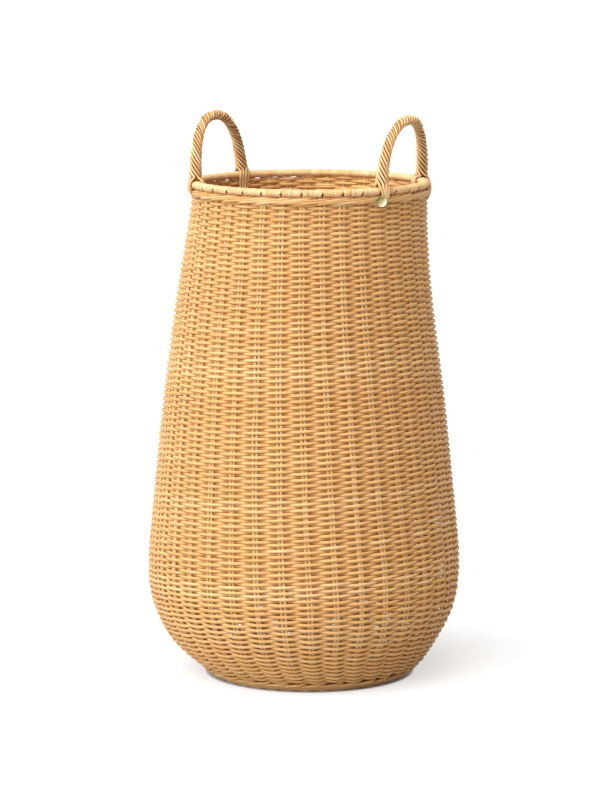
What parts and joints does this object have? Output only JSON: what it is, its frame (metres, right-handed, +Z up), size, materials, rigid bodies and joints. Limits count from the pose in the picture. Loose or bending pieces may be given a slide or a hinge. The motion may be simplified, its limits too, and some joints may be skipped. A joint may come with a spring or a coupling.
{
  "type": "laundry basket",
  "caption": "Tall pear-shaped woven rattan laundry basket with a cane-bound rim, upright roped handles and a small round metal disc.",
  "frame": {"origin": "on the floor, under the middle of the basket's bounding box", "axes": "+Z up; the handles stand over +X and -X; the front is -Y"},
  "size_m": [0.3995, 0.3996, 0.7179],
  "materials": {
    "weave": "natural rattan weavers, satin",
    "sticks": "round rattan rods, satin",
    "cane": "flat binding cane, smooth satin",
    "rope": "twisted rattan strands, satin",
    "metal": "pale gold, satin polished"
  },
  "bodies": {
    "root": {"foot_border": "weave", "base_weave": "weave", "base_sticks": "sticks", "wall_weave": "weave", "stakes": "sticks", "top_wale": "weave", "rim_hoop_outer": "sticks", "rim_hoop_inner": "sticks", "rim_binding": "cane", "handle_right_core": "rope", "handle_right_strand_1": "rope", "handle_right_strand_2": "rope", "handle_right_strand_3": "rope", "handle_right_strand_4": "rope", "handle_right_strand_5": "rope", "handle_right_strand_6": "rope", "handle_right_strand_7": "rope", "handle_right_strand_8": "rope", "handle_left_core": "rope", "handle_left_strand_1": "rope", "handle_left_strand_2": "rope", "handle_left_strand_3": "rope", "handle_left_strand_4": "rope", "handle_left_strand_5": "rope", "handle_left_strand_6": "rope", "handle_left_strand_7": "rope", "handle_left_strand_8": "rope", "stud_disc": "metal", "stud_post": "metal", "stud_cap": "metal"}
  },
  "joints": []
}
